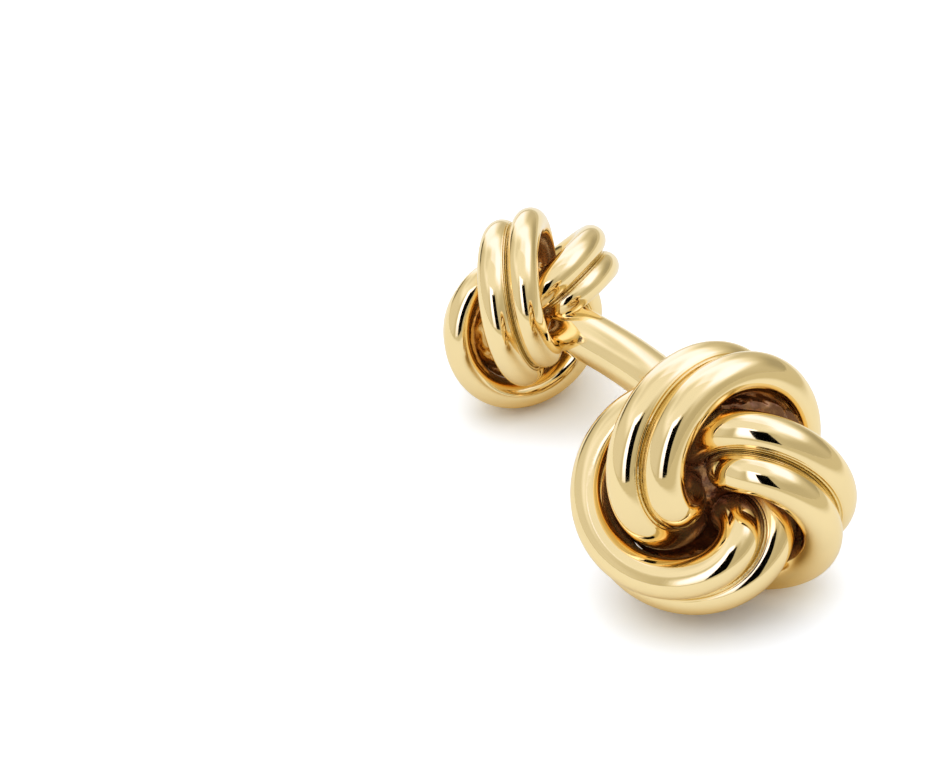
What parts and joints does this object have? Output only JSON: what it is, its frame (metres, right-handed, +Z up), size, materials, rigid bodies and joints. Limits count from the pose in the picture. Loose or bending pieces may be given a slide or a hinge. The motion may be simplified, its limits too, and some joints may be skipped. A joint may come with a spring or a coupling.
{
  "type": "cufflink",
  "caption": "Rigid double-knot cufflink in polished yellow gold: a large and a small knot of paired round wires joined by an arched round bar.",
  "frame": {"origin": "on the table, under the middle of the bounding box", "axes": "+Z up, +X from the large knot to the small knot, +Y towards the hollow side of the arched bar"},
  "size_m": [0.0281, 0.0122, 0.0129],
  "materials": {
    "large_knot_gold": "mirror-polished yellow gold",
    "small_knot_gold": "mirror-polished yellow gold",
    "bar_gold": "polished yellow gold with faint wear",
    "solder_gold": "satin gold solder, as flowed"
  },
  "bodies": {
    "root": {"large_knot_wire_a": "large_knot_gold", "large_knot_wire_b": "large_knot_gold", "small_knot_wire_a": "small_knot_gold", "small_knot_wire_b": "small_knot_gold", "bar": "bar_gold", "large_solder": "solder_gold", "small_solder": "solder_gold"}
  },
  "joints": []
}
